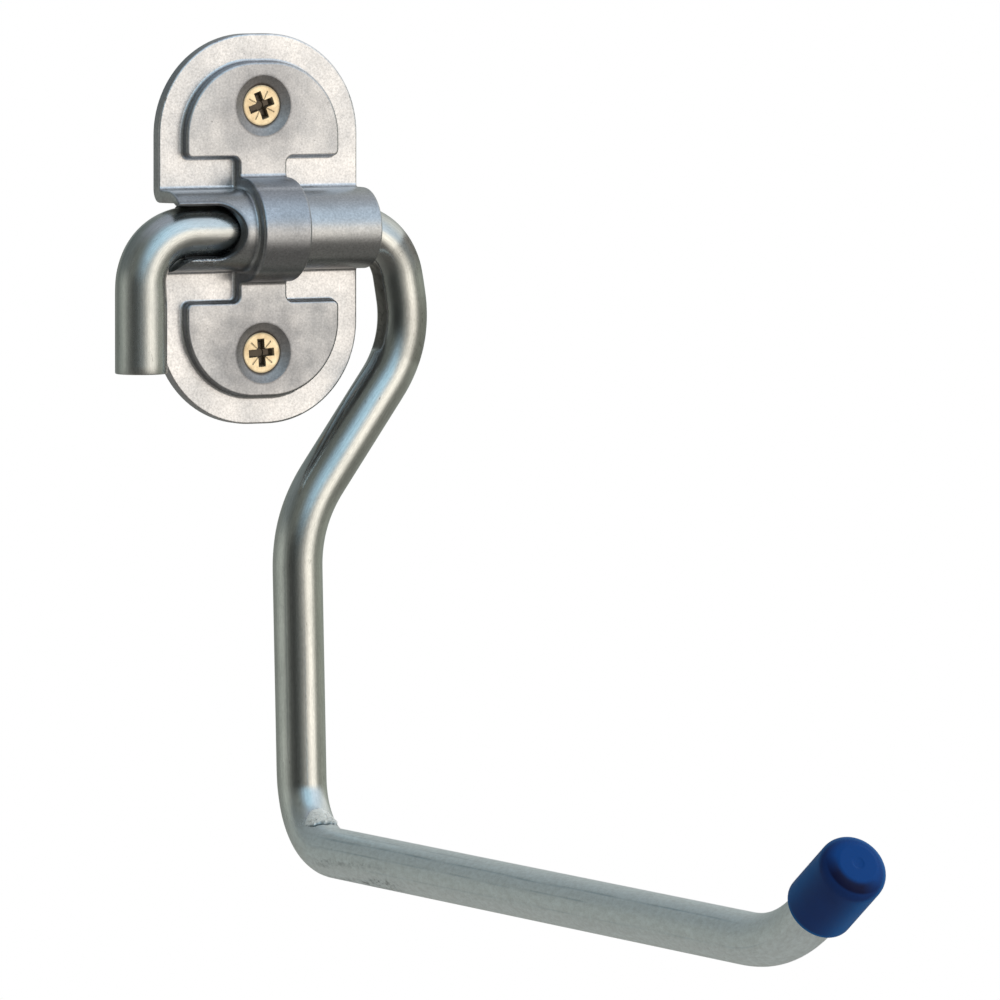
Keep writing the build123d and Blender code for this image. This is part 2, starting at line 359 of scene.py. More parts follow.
def surface_mesh(name, grid, masks=None):
    """Closed mesh over a grid of points, rows along the piece and columns round it.

    Each cell becomes one quad, the last column joins the first, and one face closes each end. The
    faces turn outwards. Masks are named values, one for each point.
    """
    rows, columns = grid.shape[:2]
    index = np.arange(rows * columns).reshape(rows, columns)
    after = np.roll(index, -1, axis=1)
    quads = np.stack([index[:-1], after[:-1], after[1:], index[1:]], axis=-1).reshape(-1, 4)
    faces = [*quads.tolist(), index[0, ::-1].tolist(), index[-1].tolist()]
    mesh = bpy.data.meshes.new(name)
    mesh.from_pydata(grid.reshape(-1, 3), [], faces)
    for mask_name, values in (masks or {}).items():
        kind, field = ("FLOAT_VECTOR", "vector") if values.ndim == 3 else ("FLOAT", "value")
        data = mesh.attributes.new(mask_name, kind, "POINT").data
        data.foreach_set(field, np.ascontiguousarray(values, np.float32).ravel())
    mesh.validate()
    mesh.update()
    mesh.shade_smooth()
    mesh.set_sharp_from_angle(angle=np.radians(38))
    piece = bpy.data.objects.new(name, mesh)
    bpy.context.scene.collection.objects.link(piece)
    return piece


def screw_body(length):
    """Rows from the head's edge down to the point: (radius, depth) of a rolled wood screw.

    The neck is a cone, the shank a plain cylinder, and the thread a sharp ridge: its height over
    the core falls off with the distance from the nearest helix turn, and it dies out to the point.
    """
    turn = np.linspace(0, 2 * np.pi, screw_body_columns, endpoint=False)[None, :]
    neck_depth = screw_head_rim + screw_head_radius - screw_thread_radius
    neck = np.array([0.0, screw_head_rim])[:, None]
    neck_radius = np.full_like(neck, screw_head_radius)
    depth = np.linspace(neck_depth, length, 260)[:, None]
    to_point = np.clip((length - depth) / screw_point_length, 0, 1)
    core = screw_core_radius * to_point**0.7 + 0.00002
    phase = (depth / screw_thread_pitch - turn / (2 * np.pi)) % 1.0
    ridge = np.clip(1 - np.abs(phase - 0.5) / thread_ridge_half, 0, 1) ** 1.3
    cut = np.clip((depth - screw_plain_length) / thread_run_in, 0, 1)
    plain = screw_plain_share * screw_thread_radius
    threaded = core + (screw_thread_radius - screw_core_radius) * to_point**0.6 * ridge
    radius = plain + (threaded - plain) * cut
    radius[0] = screw_thread_radius
    all_radius = np.concatenate([np.repeat(neck_radius, screw_body_columns, 1), radius])
    all_depth = np.repeat(np.concatenate([neck, depth]), screw_body_columns, 1)
    return all_radius, all_depth


def recess_shape(across, along):
    """How deep the recess is at a point of the head's face, from 0 to 1, and the ticks' depth.

    Each arm is a box with a sloping end and nearly upright sides, and the middle is a round well.
    """
    arms = []
    for down, over in ((across, along), (along, across)):
        reach = np.clip((recess_span / 2 - np.abs(down)) / recess_end_slope, 0, 1)
        side = np.clip((recess_width / 2 - np.abs(over)) / recess_side_slope, 0, 1)
        arms.append(np.minimum(reach, side))
    well = np.clip((recess_well_radius - np.hypot(across, along)) / recess_well_slope, 0, 1)
    deep = np.maximum(np.maximum(*arms) * 0.82, well)
    slant = np.abs(across + along) / np.sqrt(2)
    slope = np.abs(across - along) / np.sqrt(2)
    between = np.minimum(slant, slope)
    outward = np.maximum(slant, slope)
    tick = (between < tick_half_width) & (outward > tick_reach[0]) & (outward < tick_reach[1])
    return deep, tick.astype(float)


def screw_piece(node):
    """One screw as a single skin: head face from its middle outwards, then the body to its point."""
    low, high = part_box(node)
    middle_x, middle_z = (low.x + high.x) / 2, (low.z + high.z) / 2
    body_radius, body_depth = screw_body(high.y - low.y)
    columns = screw_head_columns
    turn = np.linspace(0, 2 * np.pi, columns, endpoint=False)
    around = np.arange(columns) * screw_body_columns // columns
    blend = (np.arange(columns) * screw_body_columns / columns) % 1.0
    after = (around + 1) % screw_body_columns
    radius = body_radius[:, around] * (1 - blend) + body_radius[:, after] * blend
    depth = body_depth[:, around]

    rows = screw_head_rows
    face_radius = np.linspace(0.00001, screw_head_radius - 0.0001, rows)[:, None] * np.ones(columns)
    tilt = np.radians(recess_turns[node])
    across = face_radius * np.cos(turn - tilt)
    along = face_radius * np.sin(turn - tilt)
    deep, tick = recess_shape(across, along)
    dished = head_dish_depth * (1 - (face_radius / screw_head_radius) ** 2)
    face_depth = deep * recess_depth + tick * tick_depth + dished

    radius = np.concatenate([face_radius, radius])
    depth = np.concatenate([face_depth, depth])
    depth[rows] += 0.00006
    # The recess mask is dirt and painted shade: dark in the cross recess and its ticks, and in a ring at
    # the head's rim and edge, where the head sits in the dish.
    rim = np.clip((face_radius - rim_shade_start) / rim_shade_fade, 0, 1)
    recess = np.zeros_like(radius)
    recess[:rows] = np.clip(deep * 3, 0, 1) + 0.5 * tick + 0.5 * rim
    recess[rows:rows + 2] = 0.75
    points = (middle_x + radius * np.cos(turn), low.y + depth, middle_z + radius * np.sin(turn))
    grid = np.stack(points, -1)[:, ::-1]
    piece = surface_mesh(node + "_threaded", grid, {"recess": recess[:, ::-1]})
    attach(piece, "bracket")
    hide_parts(node)
    return piece


def attribute(tree, name, output="Fac"):
    """A value or vector that the mesh holds for each of its points."""
    return add_node(tree, "Attribute", name, attribute_name=name).outputs[output]


def screw_finish():
    """Yellow passivated zinc, bright on the head and brown where the recess holds dirt, with painted
    shade in the recess and round the head's rim.
    """
    material, tree, surface = new_material("screw_zinc")
    color, rough, relief = plating(
        tree, tree.nodes.new("ShaderNodeTexCoord").outputs["Object"], bump=0.25,
        Clear=(0.90, 0.74, 0.49, 1), Clouded=(0.74, 0.53, 0.30, 1), Pit=(0.30, 0.19, 0.09, 1),
        Cloud_Scale=420.0, Cloud_Amount=0.7, Grain_Scale=3200.0, Grain_Amount=0.16,
        Pit_Scale=1500.0, Pit_Amount=0.5, Rough_Low=0.30, Rough_High=0.42,
    )
    recess = attribute(tree, "recess")
    color = mixed(tree, "dark recess", recess, color, (0.115, 0.082, 0.052))
    metal = changed(tree, "matt dirt and shade", 1.0, recess, -0.6)
    finish(tree, surface, Base_Color=color, Metallic=metal, Roughness=rough, Normal=relief)
    return material


brass_tone = screw_finish()
for screw_node in recess_turns:
    screw_piece(screw_node).data.materials.append(brass_tone)


# Shade film: a thin dark sheet of painted shade set between the bar and the barrel, in place of the
# shade there. It is open at the front, where the slot is, and fills the fine gap above and below the
# bar. It stays with the bracket.

shade_film_inside = 0.00507
shade_film_outside = 0.00556
shade_film_reach = (-0.0186, -0.0085)
shade_film_flare_start = -0.0172
shade_film_flare = 0.0190
shade_film_opening = 75.0


def shade_film_piece():
    """An open ring drawn out along the barrel: inner face, far edge, outer face and near edge.

    Past the flare's start the inner radius grows by gone**2 / shade_film_flare, as the bar bends away.
    """
    turn = np.radians(np.linspace(shade_film_opening, 360 - shade_film_opening, 60))
    spoke = np.stack([-np.cos(turn), np.sin(turn)], -1)
    along = np.concatenate([np.linspace(shade_film_reach[0], shade_film_flare_start, 9), [shade_film_reach[1]]])
    gone = np.clip(shade_film_flare_start - along, 0, None)
    inside = (shade_film_inside + gone**2 / shade_film_flare)[:, None, None]
    ring = np.concatenate([inside * spoke, shade_film_outside * spoke[::-1] * np.ones_like(inside)], 1)
    lengthwise = along[:, None] * np.ones(ring.shape[1])
    grid = np.stack([lengthwise, barrel_axis + ring[..., 0], ring[..., 1]], -1)
    piece = surface_mesh("painted_shade_film", grid)
    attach(piece, "bracket")
    dark = (0.014, 0.013, 0.011, 1)
    material = new_material("painted_shade_film", Base_Color=dark, Roughness=0.45, Specular_IOR_Level=0.3)[0]
    piece.data.materials.append(material)


shade_film_piece()


# Hook: a length of 10 mm drawn steel bar, bent cold in one piece and zinc plated afterwards. Fine
# die lines run along it. The bending tools have flattened the inside of the shoulder and have torn
# a small lip out of the tight bend above the arm.

bar_radius = 0.005
leg_offset = 0.0278
leg_length = 0.0280
arm_offset = 0.00825
arm_drop = 0.1237
arm_end = barrel_axis - 0.1979
tip_length = 0.0309
tip_rise = np.radians(33.5)
bar_corners = np.array([
    (-leg_offset, barrel_axis, -leg_length),
    (-leg_offset, barrel_axis, 0.0),
    (leg_offset, barrel_axis, 0.0),
    (0.0317, barrel_axis, -0.0233),
    (0.0068, barrel_axis, -0.0581),
    (arm_offset, barrel_axis, -arm_drop),
    (arm_offset, arm_end, -arm_drop),
    (arm_offset, arm_end - tip_length * np.cos(tip_rise), tip_length * np.sin(tip_rise) - arm_drop),
])
bend_radii = (0.0104, 0.0112, 0.0222, 0.0276, 0.0132, 0.0435)
bar_columns = 132
# Sides of the bar, as turns from its outward axis
inner_left = np.radians(270)
inner_front = np.radians(180)
inner_back = np.radians(90)
leg_widening = 0.00045
land_depth = 0.00452
lip_side = np.radians(178)
lip_half_turn = np.radians(47)
lip_height = 0.00034
score_depth = 0.00003
end_edge_cuts = (0.00022, 0.00007)   # at the end itself, and at the next ring in


def bar_stretches():
    """Straight runs and arcs of the bar's middle line, each with where it starts along the bar.

    At a corner between directions a and b the arc starts radius * tan(angle / 2) before it and
    turns towards the inside, which is the part of b square to a.
    """
    runs = []
    done = 0.0
    start = bar_corners[0]
    bends = zip(bar_corners[1:-1], bar_corners[:-2], bar_corners[2:], bend_radii)
    for corner, before, after, radius in bends:
        ahead = (corner - before) / np.linalg.norm(corner - before)
        onward = (after - corner) / np.linalg.norm(after - corner)
        angle = np.arccos(ahead @ onward)
        lead = radius * np.tan(angle / 2)
        inward = onward - (onward @ ahead) * ahead
        inward = inward / np.linalg.norm(inward)
        bend_start = corner - ahead * lead
        run = np.linalg.norm(bend_start - start)
        runs.append((done, done + run, start, ahead, inward, None))
        runs.append((done + run, done + run + radius * angle, bend_start, ahead, inward, radius))
        done += run + radius * angle
        start = corner + onward * lead
    last = bar_corners[-1] - start
    reach = np.linalg.norm(last)
    runs.append((done, done + reach, start, last / reach, last, None))
    return runs


stretches = bar_stretches()
leg_bend, shoulder_bend, knee_bend, shank_bend, arm_bend, tip_bend = [
    (stretch[0], stretch[1]) for stretch in stretches if stretch[5]
]
bar_length = stretches[-1][1]


def bar_line(distance):
    """Points and directions of the bar's middle line at these distances from the leg's end."""
    points = np.zeros((len(distance), 3))
    ahead = np.zeros((len(distance), 3))
    for begin, end, start, direction, inward, radius in stretches:
        here = (distance >= begin - 1e-9) & (distance <= end + 1e-9)
        gone = (distance[here] - begin)[:, None]
        if radius is None:
            points[here] = start + direction * gone
            ahead[here] = direction
        else:
            turned = gone / radius
            points[here] = start + radius * (inward * (1 - np.cos(turned)) + direction * np.sin(turned))
            ahead[here] = direction * np.cos(turned) + inward * np.sin(turned)
    return points, ahead


def bump_between(value, low, high, edge):
    """1 between low and high and 0 outside, with smooth edges of this width inside them."""
    rise = np.clip((value - low) / edge, 0, 1)
    fall = np.clip((high - value) / edge, 0, 1)
    inside = np.minimum(rise, fall)
    return inside * inside * (3 - 2 * inside)


def ripple(distance, turn, seed, waves, reach):
    """Uneven pattern over the bar, about 1 high: a sum of sine waves with seeded turns and phases."""
    rng = np.random.default_rng(seed)
    total = np.zeros(np.broadcast(distance, turn).shape)
    for wave in range(waves):
        lengthwise, phase = rng.uniform(0.3, 1.0) * reach, rng.uniform(0, 2 * np.pi)
        round_it = rng.integers(1, 9)
        total = total + np.sin(distance * lengthwise + turn * round_it + phase)
    return total / np.sqrt(waves / 2)


def bar_rows():
    """Distances along the bar that have a ring of points: close together where it is marked."""
    rows = np.concatenate([
        np.arange(0, bar_length, 0.0018),
        np.arange(leg_bend[0] - 0.003, leg_bend[1] + 0.011, 0.0005),
        np.arange(shoulder_bend[0], knee_bend[1], 0.00035),
        np.arange(knee_bend[1], shank_bend[1] + 0.002, 0.001),
        np.arange(arm_bend[0] - 0.001, arm_bend[1] + 0.003, 0.00014),
        np.arange(tip_bend[0], tip_bend[1], 0.001),
    ])
    rows = np.unique(rows.round(6))
    rows = rows[(rows > 0.0004) & (rows < bar_length - 0.0001)]
    return np.concatenate([[0.0, 0.00008, 0.00025], rows, [bar_length]])


def bent_radius(along, turn):
    """Radius after bending, before any mark: more inside each bend and less outside it.

    The inner side of the short leg is wider.
    """
    radius = np.full(np.broadcast(along, turn).shape, bar_radius - 0.00001)
    for bend, facing, swell in (
        (leg_bend, inner_left, 0.00014),
        (shoulder_bend, inner_left, 0.00012),
        (knee_bend, inner_left, 0.00006),
        (shank_bend, inner_back, 0.00006),
        (arm_bend, inner_front, 0.00022),
        (tip_bend, inner_front, 0.00006),
    ):
        strength = bump_between(along, bend[0] - 0.002, bend[1] + 0.002, 0.006)
        radius = radius + swell * strength * (np.cos(turn - facing) - 0.35)
    widened = bump_between(along, -0.01, leg_bend[0] + 0.004, 0.008)
    return radius + leg_widening * widened * np.clip(np.cos(turn - inner_left), 0, 1) ** 2


def pressed_land(along, turn, radius):
    """Radius cut back to a flat land on the shoulder's inner side, and a mask of where it is."""
    pressed = bump_between(along, shoulder_bend[0] + 0.0085, knee_bend[0] + 0.0130, 0.0016)
    wavy = 1 + 0.004 * ripple(along, turn, 3, 9, 2400.0)
    off = np.cos(turn - inner_left)
    flat = np.where(off > 0.05, land_depth * wavy / np.maximum(off, 0.05), 1.0)
    radius = radius + pressed * (np.minimum(radius, flat) - radius)
    return radius, np.clip((bar_radius - radius) / 0.00012, 0, 1) * pressed


def torn_lip(along, turn):
    """Rough crescent torn out inside the arm's bend: its height, its mask and the shade under it.

    Round_lip runs from -1 to 1 across it, and level from 0 at its upper edge to 1 at its lower one.
    """
    middle = (arm_bend[0] + arm_bend[1]) / 2
    round_lip = (turn - lip_side) / lip_half_turn
    ragged = ripple(along * 0, turn * 4, 5, 14, 1.0)
    lip_low = middle + 0.0050 - 0.0021 * round_lip**2 + 0.00022 * ragged
    lip_high = middle - 0.0016 + 0.0048 * np.abs(round_lip) ** 2.2 + 0.00010 * ragged
    level = (along - lip_high) / np.maximum(lip_low - lip_high, 0.0002)
    inside_lip = ((level > 0) & (level < 1) & (np.abs(round_lip) < 1)).astype(float)
    edge = np.clip((1 - np.abs(round_lip)) / 0.25, 0, 1)
    swelling = inside_lip * edge * np.clip(level * 1.5, 0, 1) ** 0.7
    crumble = ripple(along, turn * 5, 8, 14, 9000.0) + 0.7 * ripple(along, turn * 9, 9, 14, 16000.0)
    torn = np.clip(inside_lip * edge * 2.5, 0, 1)
    below = bump_between(level, 0.99, 1.32, 0.10) * edge * (np.abs(round_lip) < 1)
    height = swelling * (lip_height + 0.00011 * np.clip(crumble, -2.2, 2.2)) - 0.00020 * below
    return height, torn, below


def scored_lines(along, turn):
    """Long scores, each a narrow groove at its own angle that wanders a little and comes and goes."""
    scored = np.zeros(np.broadcast(along, turn).shape)
    for angle, width, depth, begin, end, seed in (
        (227, 1.9, 0.85, arm_bend[1] - 0.004, tip_bend[0] + 0.006, 21),
        (251, 1.3, 0.65, arm_bend[0] + 0.006, tip_bend[0] - 0.050, 22),
        (283, 1.6, 0.35, arm_bend[1] + 0.020, tip_bend[1], 23),
        (205, 1.1, 0.45, arm_bend[1] + 0.001, tip_bend[0] - 0.090, 24),
        (238, 1.2, 0.50, shank_bend[0], arm_bend[0], 25),
        (255, 1.4, 0.45, knee_bend[1], shank_bend[0], 26),
    ):
        wander = np.radians(0.7) * ripple(along, 0 * turn, seed, 6, 160.0)
        near = np.exp(-(((turn - np.radians(angle) - wander) / np.radians(width)) ** 2))
        faint = np.clip(0.72 + 0.28 * ripple(along, 0 * turn, seed + 40, 6, 420.0), 0, 1)
        scored = scored + depth * near * faint * bump_between(along, begin, end, 0.010)
    return scored


def shade_painted_sides(along, turn):
    """Painted shade in streaks: on the left of the diagonal, on one side of the short leg and beside the
    pressed land.
    """
    diagonal = bump_between(along, knee_bend[0] + 0.006, shank_bend[0] + 0.004, 0.008)
    diagonal = diagonal * np.clip(np.cos(turn - np.radians(272)) * 2.2 - 0.9, 0, 1)
    leg = bump_between(along, -0.01, leg_bend[1], 0.010)
    leg = leg * np.clip((np.cos(turn - np.radians(64)) - 0.643) / 0.263, 0, 1)
    beside_land = bump_between(along, shoulder_bend[0] + 0.006, knee_bend[0] + 0.012, 0.008)
    beside_land = beside_land * np.clip(np.cos(turn - np.radians(240)) * 2.4 - 1.3, 0, 1)
    streak = np.clip(0.75 + 0.25 * ripple(along * 0.1, turn * 3, 31, 9, 200.0), 0, 1)
    return np.clip(0.6 * diagonal + leg + 0.7 * beside_land, 0, 1) * streak


def scuffed_underside(along, turn):
    """Patchy scuffs under the arm, just past its bend."""
    worn = 0.5 + 0.5 * ripple(along, turn, 12, 10, 180.0)
    scuffed = bump_between(along, arm_bend[1] - 0.004, arm_bend[1] + 0.040, 0.012)
    scuffed = scuffed * np.clip(np.cos(turn - np.radians(318)) * 2.2 - 1.1, 0, 1)
    return scuffed * np.clip(worn * 1.3, 0, 1)


def bar_piece():
    """The bar's skin: a circle carried along the middle line, with the marks of its bending.

    A point is middle + radius * (cos(turn) * outward + sin(turn) * sideways). In the first plane
    the outward axis is +Y, and past the upright the sideways axis is +X, so the skin never twists.
    """
    distance = bar_rows()
    middle, ahead = bar_line(distance)
    upright = np.array([0.0, 1.0, 0.0])
    across = np.array([1.0, 0.0, 0.0])
    turned = (distance > (shank_bend[1] + arm_bend[0]) / 2)[:, None]
    outward = np.where(turned, np.cross(across, ahead), upright)
    sideways = np.where(turned, across, np.cross(ahead, upright))

    turn = np.linspace(0, 2 * np.pi, bar_columns, endpoint=False)[None, :]
    along = distance[:, None]
    everywhere = np.ones((len(distance), bar_columns))
    radius, pressed = pressed_land(along, turn, bent_radius(along, turn))
    lip, torn, under_lip = torn_lip(along, turn)
    scored = scored_lines(along, turn)
    radius = radius + lip - score_depth * scored
    radius[0] -= end_edge_cuts[0]
    radius[1] -= end_edge_cuts[1]
    radius[-1] -= end_edge_cuts[0]

    cosine, sine = np.cos(turn), np.sin(turn)
    spoke = cosine[..., None] * outward[:, None, :] + sine[..., None] * sideways[:, None, :]
    grid = middle[:, None, :] + radius[..., None] * spoke
    round_x, round_y = cosine * bar_radius, sine * bar_radius
    masks = {
        "bar_lay": np.stack([round_x * everywhere, round_y * everywhere, along * everywhere], -1),
        "pressed": pressed,
        "torn": torn,
        "under_lip": under_lip,
        "dull": np.clip((along - arm_bend[0]) / (arm_bend[1] - arm_bend[0]), 0, 1) * everywhere,
        "scuffed": scuffed_underside(along, turn),
        "scored": np.clip(scored, 0, 1),
        "shade_painted": shade_painted_sides(along, turn),
        "satin": bump_between(along, -0.01, shoulder_bend[0] - 0.004, 0.010) * everywhere,
    }
    piece = surface_mesh("bent_bar", grid, masks)
    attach(piece, "hook")
    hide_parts("hook_rod")
    return piece


def drawn_out(tree, lay, share):
    """A position along and round the bar, shortened so that a pattern on it is drawn out lengthwise."""
    return step(tree, "Mapping", "drawn out", lay, Scale=(1.0, 1.0, share))


def bar_finish():
    """Satin zinc on drawn bar: die lines along it, dull on the arm, rough and white at the torn lip."""
    material, tree, surface = new_material("bar_zinc")
    lay = attribute(tree, "bar_lay", "Vector")
    marks = [attribute(tree, name) for name in (
        "dull", "shade_painted", "scored", "scuffed", "pressed", "torn", "under_lip", "satin"
    )]
    dull, shade_painted, scored, scuffed, pressed, torn, under_lip, satin = marks
    color, rough, relief = plating(
        tree, drawn_out(tree, lay, 0.35), bump=0.22,
        Clear=(0.66, 0.665, 0.635, 1), Clouded=(0.56, 0.57, 0.545, 1), Pit=(0.22, 0.21, 0.19, 1),
        Cloud_Scale=260.0, Cloud_Amount=0.8, Grain_Scale=2600.0, Grain_Amount=0.16,
        Pit_Scale=1100.0, Pit_Amount=0.6, Rough_Low=0.14, Rough_High=0.21,
    )

    lines = noise(tree, "die lines", drawn_out(tree, lay, 0.012), 2600.0, 3.0, 0.6)
    lined = fade(tree, "line tone", lines, (0.35, 0.7), 0.0, 0.35)
    mottle = noise(tree, "mottled arm", drawn_out(tree, lay, 0.5), 1300.0, 5.0, 0.7)
    mottle = fade(tree, "mottle edge", mottle, (0.35, 0.65))
    arm_tone = mixed(tree, "arm tone", mottle, (0.90, 0.94, 0.92), (0.72, 0.74, 0.71))
    crumbs = mixed(tree, "crumbled metal", mottle, (1.0, 0.96, 0.88), (0.74, 0.70, 0.63))
    patches = noise(tree, "rubbed patches", drawn_out(tree, lay, 0.55), 900.0, 6.0, 0.75)
    patches = fade(tree, "patch edge", patches, (0.47, 0.62))
    folds = noise(tree, "folds", lay, 330.0, 3.0, 0.55, distortion=0.8)
    off_fold = maths(tree, "off a fold", "SUBTRACT", folds, 0.5)
    off_fold = maths(tree, "either side", "ABSOLUTE", off_fold)
    fold_line = fade(tree, "fold line", off_fold, (0.012, 0.003))
    dull_share = product(tree, "dull share", dull, 0.85)
    scuffed_share = product(tree, "scuffed share", patches, scuffed)
    wrinkled = product(tree, "folds on the land", fold_line, pressed)

    # Painted shade: the shade-painted sides, and the shade under the torn lip.
    for label, mask, tone, blend in (
        ("lined", lined, (0.74, 0.75, 0.74), "MULTIPLY"),
        ("dull arm", dull_share, arm_tone, "MIX"),
        ("stained sides", shade_painted, (0.46, 0.49, 0.50), "MULTIPLY"),
        ("scored lines", scored, (0.50, 0.56, 0.60), "MULTIPLY"),
        ("scuffed underside", scuffed_share, (0.20, 0.20, 0.19), "MIX"),
        ("pressed land", pressed, (0.35, 0.32, 0.30), "MULTIPLY"),
        ("wrinkles", wrinkled, (0.35, 0.33, 0.32), "MULTIPLY"),
        ("torn lip", torn, crumbs, "MIX"),
        ("shade under the lip", under_lip, (0.16, 0.19, 0.19), "MIX"),
    ):
        color = mixed(tree, label, mask, color, tone, blend)
    metal = changed(tree, "torn metal doesn't shine", 1.0, torn, -0.85)
    metal = changed(tree, "chalky arm", metal, dull, -0.42)
    for mask, more in ((dull, 0.20), (pressed, 0.18), (torn, 0.45), (scuffed, 0.2), (satin, 0.10)):
        rough = changed(tree, "rougher where marked", rough, mask, more)
    relief = step(
        tree, "Bump", "die line relief", Strength=0.30, Distance=0.00003, Height=lines, Normal=relief
    )
    finish(tree, surface, Base_Color=color, Metallic=metal, Roughness=rough, Normal=relief)
    return material


bar_piece().data.materials.append(bar_finish())


# End cap: a soft cap of dark blue plastic, moulded in one piece and pushed over the bar's tip.
# Its far end is gently crowned, with a small dimple left by the mould's gate.

cap_wall = 0.00155
cap_length = 0.0170
cap_end_wall = 0.0016
cap_fit = 0.00005
cap_end_round = 0.0029
cap_rim_round = 0.0004
cap_mouth_round = 0.0002
cap_crown = 0.00018
cap_dimple_radius = 0.0012
cap_dimple_depth = 0.00018
cap_end_depth = 0.0012               # how far the end's tones reach down the side
cap_disc_radius = 0.0062
cap_disc_fade = 0.0020
cap_columns = 96


def arc(middle, radius, start, end, count):
    """Points (distance from the axis, height) on a circle, from start to end in degrees."""
    angle = np.radians(np.linspace(start, end, count))
    return np.stack([middle[0] + radius * np.cos(angle), middle[1] + radius * np.sin(angle)], -1)


def cap_piece():
    """The cap's closed profile turned about the bar's tip: inside, rim, side, rounded end, dimple.

    A point is tip + away * (cos(turn) * across + sin(turn) * upward) + height * ahead.
    """
    tip, ahead = bar_line(np.array([bar_length]))
    tip, ahead = tip[0], ahead[0]
    bore = bar_radius + cap_fit
    outer = bore + cap_wall
    top = cap_fit + cap_end_wall
    rim = top - cap_length
    side = np.linspace(rim + 0.001, top - cap_end_round - 0.001, 14)
    flat = np.linspace(outer - cap_end_round, cap_dimple_radius + 0.0003, 14)
    crowned = top - cap_crown * (flat / outer) ** 2
    dimple = np.linspace(cap_dimple_radius, 0.00002, 12)
    hollow = cap_dimple_depth * np.clip(1 - (dimple / cap_dimple_radius) ** 2, 0, 1) ** 0.6
    profile = np.concatenate([
        [(0.00002, cap_fit), (bore, cap_fit), (bore, rim + cap_mouth_round)],
        arc((bore + cap_mouth_round, rim + cap_mouth_round), cap_mouth_round, 180, 270, 4),
        arc((outer - cap_rim_round, rim + cap_rim_round), cap_rim_round, 270, 360, 7),
        np.stack([np.full_like(side, outer), side], -1),
        arc((outer - cap_end_round, top - cap_end_round - cap_crown), cap_end_round, 0, 84, 12),
        np.stack([flat, crowned], -1),
        np.stack([dimple, top - hollow], -1),
    ])
    turn = np.linspace(0, 2 * np.pi, cap_columns, endpoint=False)
    across = np.array([1.0, 0.0, 0.0])
    upward = np.cross(ahead, across)
    ring = np.cos(turn)[:, None] * across + np.sin(turn)[:, None] * upward
    grid = tip + profile[:, None, :1] * ring[None] + profile[:, None, 1:] * ahead

    away, height = profile[:, :1], profile[:, 1:]
    outside = height > top - cap_end_depth
    low_left = np.clip(np.cos(turn - np.radians(232)) * 1.6 - 0.35, 0, 1)
    glowing_rim = np.clip((rim + 0.0007 - height) / 0.0005, 0, 1) * (away > bore + 0.0004)
    everywhere = np.ones(cap_columns)
    # Painted light: the end disc mask lights the end face, and the thin rim mask gives the mouth's rim a
    # translucent glow. The shade band is painted shade on one side of the end.
    masks = {
        "lit_end_disc": outside * np.clip((cap_disc_radius - away) / cap_disc_fade, 0, 1) * everywhere,
        "shade_band": outside * bump_between(away, 0.0036, 0.0066, 0.0010) * low_left,
        "glowing_rim": glowing_rim * everywhere,
    }
    piece = surface_mesh("moulded_cap", grid, masks)
    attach(piece, "hook")
    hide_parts("end_cap")
    return piece


def cap_finish():
    """Dark blue plastic: fine moulded grain, with painted sheen, a lighter, greener blue, where it is
    seen edge on, painted light on the end face and a painted glow at the thin rim.
    """
    material, tree, surface = new_material("cap_plastic", IOR=1.49, Specular_IOR_Level=0.12)
    place = tree.nodes.new("ShaderNodeTexCoord").outputs["Object"]
    cloud = noise(tree, "uneven dye", place, 160.0, 4.0)
    grain = noise(tree, "moulded grain", place, 2600.0, 2.0)
    edge = add_node(tree, "LayerWeight", "edge on", Blend=0.5).outputs["Facing"]
    color = mixed(tree, "dye", cloud, (0.009, 0.026, 0.105), (0.010, 0.042, 0.170))
    for label, mask, tone in (
        ("painted light on the end face", attribute(tree, "lit_end_disc"), (0.003, 0.055, 0.23)),
        ("shaded side of the end", attribute(tree, "shade_band"), (0.006, 0.008, 0.040)),
        ("painted glow at the thin rim", attribute(tree, "glowing_rim"), (0.0, 0.19, 0.46)),
        ("painted sheen edge on", fade(tree, "thin edge", edge, (0.35, 0.75), smooth=True), (0.0, 0.10, 0.32)),
    ):
        color = mixed(tree, label, mask, color, tone)
    rough = fade(tree, "roughness", cloud, (0.3, 0.7), 0.36, 0.50)
    relief = step(tree, "Bump", "grain relief", Strength=0.2, Distance=0.00004, Height=grain)
    finish(tree, surface, Base_Color=color, Roughness=rough, Normal=relief)
    return material


cap_piece().data.materials.append(cap_finish())


# Studio: a pale floor under the hook, which is held up by its screws as on a wall, and a white
# surround. The metal mirrors a soft room: a warm window in front to the right, a pale blue sky
# above, and darker walls and ground, as round a hook in daylight.

floor_drop = 0.11
floor_half = 4.0
floor_middle = -0.1
room_peak = 2.5


def seen_straight(tree):
    """1 where the camera looks straight or through glass, and 0 for light and reflections."""
    ray = tree.nodes.new("ShaderNodeLightPath").outputs
    straight, through = ray["Is Camera Ray"], ray["Is Transmission Ray"]
    return maths(tree, "seen straight or through", "MAXIMUM", straight, through)


